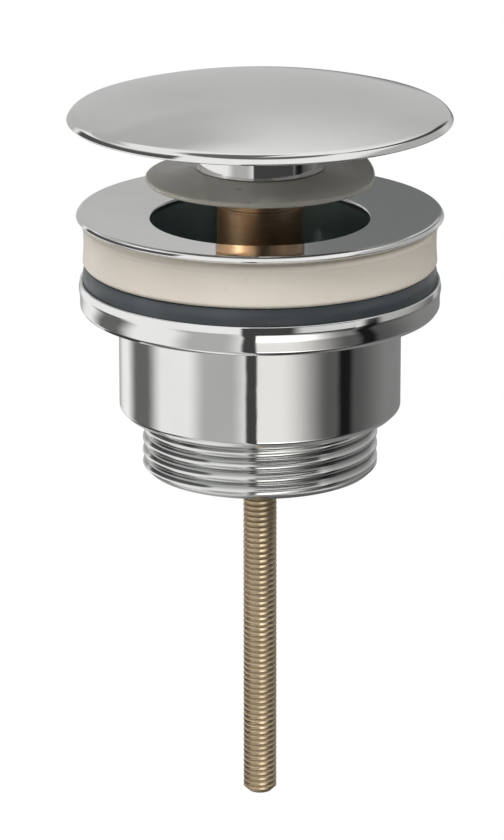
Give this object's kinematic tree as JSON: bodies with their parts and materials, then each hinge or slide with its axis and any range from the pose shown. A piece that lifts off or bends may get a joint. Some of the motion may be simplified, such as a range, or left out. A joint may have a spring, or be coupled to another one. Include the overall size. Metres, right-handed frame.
{
  "type": "pop-up basin waste",
  "caption": "Domed push plug on a latching cartridge over a dished strainer flange, with seals and a threaded outlet body that a central rod draws up under a washbasin.",
  "frame": {"origin": "centre of the seat under the flange's rim, on the axis of the waste", "axes": "+Z along the axis, up through the domed plug; X and Y lie between the arms of the spider"},
  "size_m": [0.0682, 0.0682, 0.1325],
  "materials": {
    "chrome_plate": "bright chrome plate, mirror polished",
    "bare_brass": "turned brass, slightly tarnished",
    "rod_brass": "pale dull brass, rolled thread",
    "grey_silicone": "matt moulded silicone",
    "milky_seal": "milky moulded elastomer, satin",
    "black_rubber": "satin moulded rubber",
    "acetal": "natural white moulded",
    "spring_steel": "bright drawn stainless steel"
  },
  "bodies": {
    "flange": {"strainer_flange": "chrome_plate", "upper_seal": "milky_seal"},
    "cartridge": {"cartridge_barrel": "bare_brass", "guide_bush": "bare_brass", "stem_o_ring": "black_rubber", "return_spring": "spring_steel", "thrust_washer": "acetal", "threaded_rod": "rod_brass", "rod_retainer": "spring_steel"},
    "plug": {"plug_cap": "chrome_plate", "plug_seal": "grey_silicone", "seal_ring_nut": "bare_brass", "plunger_stem": "bare_brass", "cross_pin": "spring_steel"},
    "cam": {"cam_sleeve": "acetal"},
    "outlet": {"lower_body": "chrome_plate", "lower_gasket": "black_rubber"}
  },
  "joints": [
    {"name": "rod_turn", "type": "hinge", "parent": "flange", "child": "cartridge", "pos_m": [0, 0, 0], "axis": [0, 0, 1], "range_deg": [0, 21600]},
    {"name": "outlet_slide", "type": "slide", "parent": "flange", "child": "outlet", "axis": [0, 0, 1], "range_m": [-0.06, 0]},
    {"name": "plug_slide", "type": "slide", "parent": "cartridge", "child": "plug", "axis": [0, 0, 1], "range_m": [-0.0064, 0], "stiffness_N_per_m": 1200, "springref_m": 0.004, "deforming": ["return_spring"]},
    {"name": "cam_turn", "type": "hinge", "parent": "cartridge", "child": "cam", "pos_m": [0, 0, -0.0066], "axis": [0, 0, 1], "range_deg": [0, 45]}
  ],
  "couplings": [
    {"joint": "rod_turn", "follows": "outlet_slide", "rad_per_m": -6283.2},
    {"joint": "cam_turn", "follows": "plug_slide", "rad_per_m": -122.71}
  ]
}
